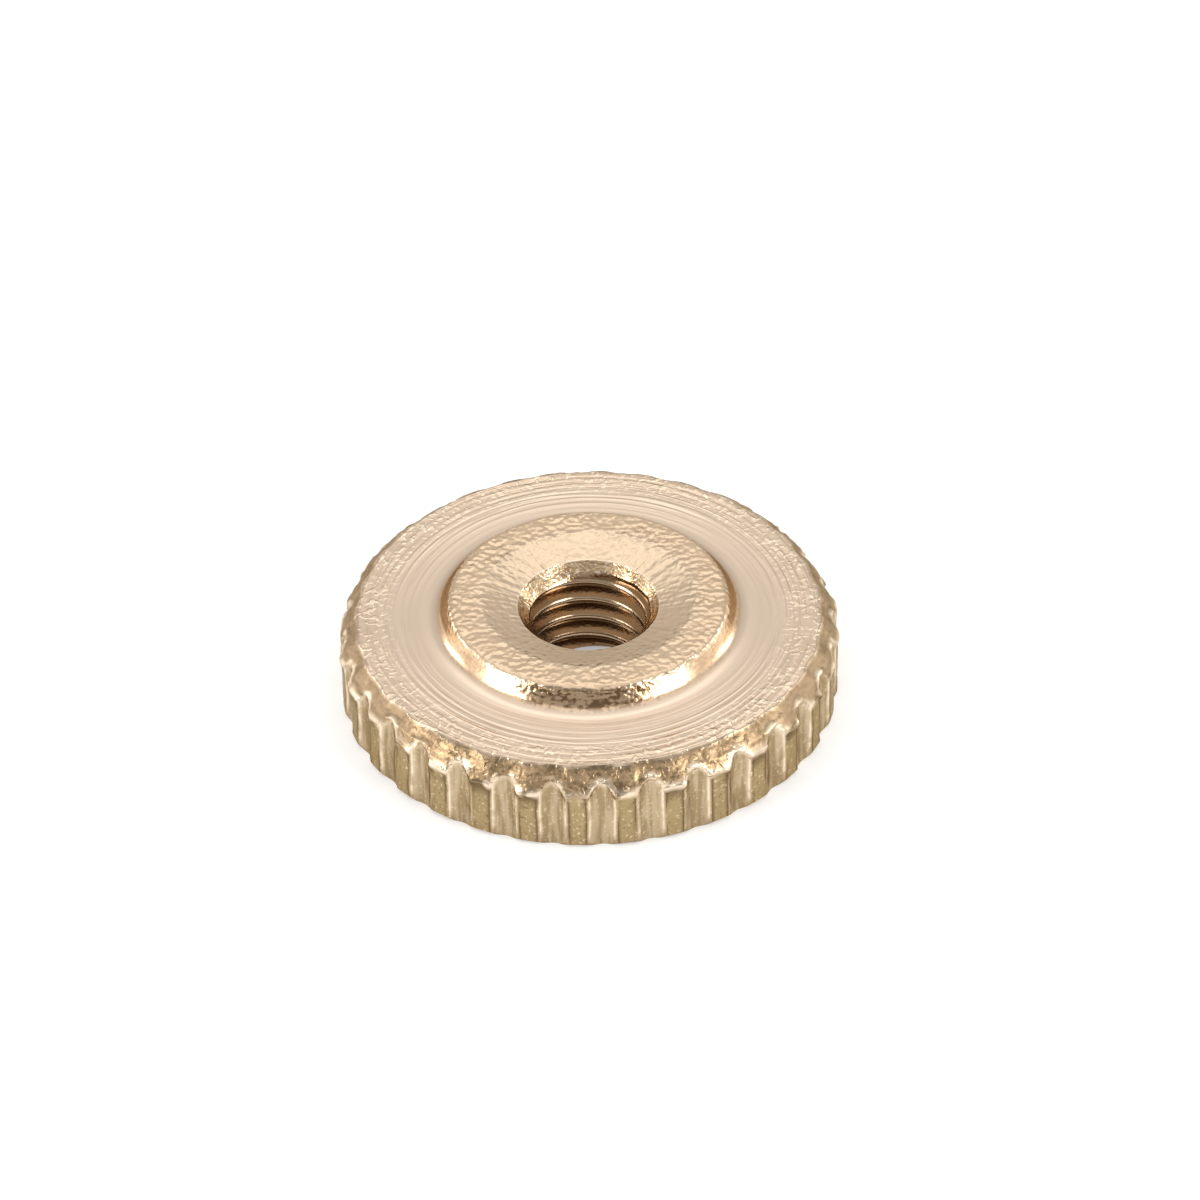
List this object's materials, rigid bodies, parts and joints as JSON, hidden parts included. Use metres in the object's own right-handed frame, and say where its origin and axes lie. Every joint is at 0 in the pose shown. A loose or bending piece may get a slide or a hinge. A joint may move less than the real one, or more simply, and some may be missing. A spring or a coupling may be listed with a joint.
{
  "type": "knurled thumb nut",
  "caption": "Low round brass thumb nut with a fluted rim, a dished collar and a threaded through hole.",
  "frame": {"origin": "centre of the flat underside, on the thread's axis", "axes": "+Z along the thread's axis, from the flat underside towards the raised collar; the rim's first flute lies 2.2 degrees from -Y towards +X"},
  "size_m": [0.011, 0.011, 0.0025],
  "materials": {
    "brass": "turned and tumbled, satin"
  },
  "bodies": {
    "root": {"thumb_nut": "brass"}
  },
  "joints": []
}
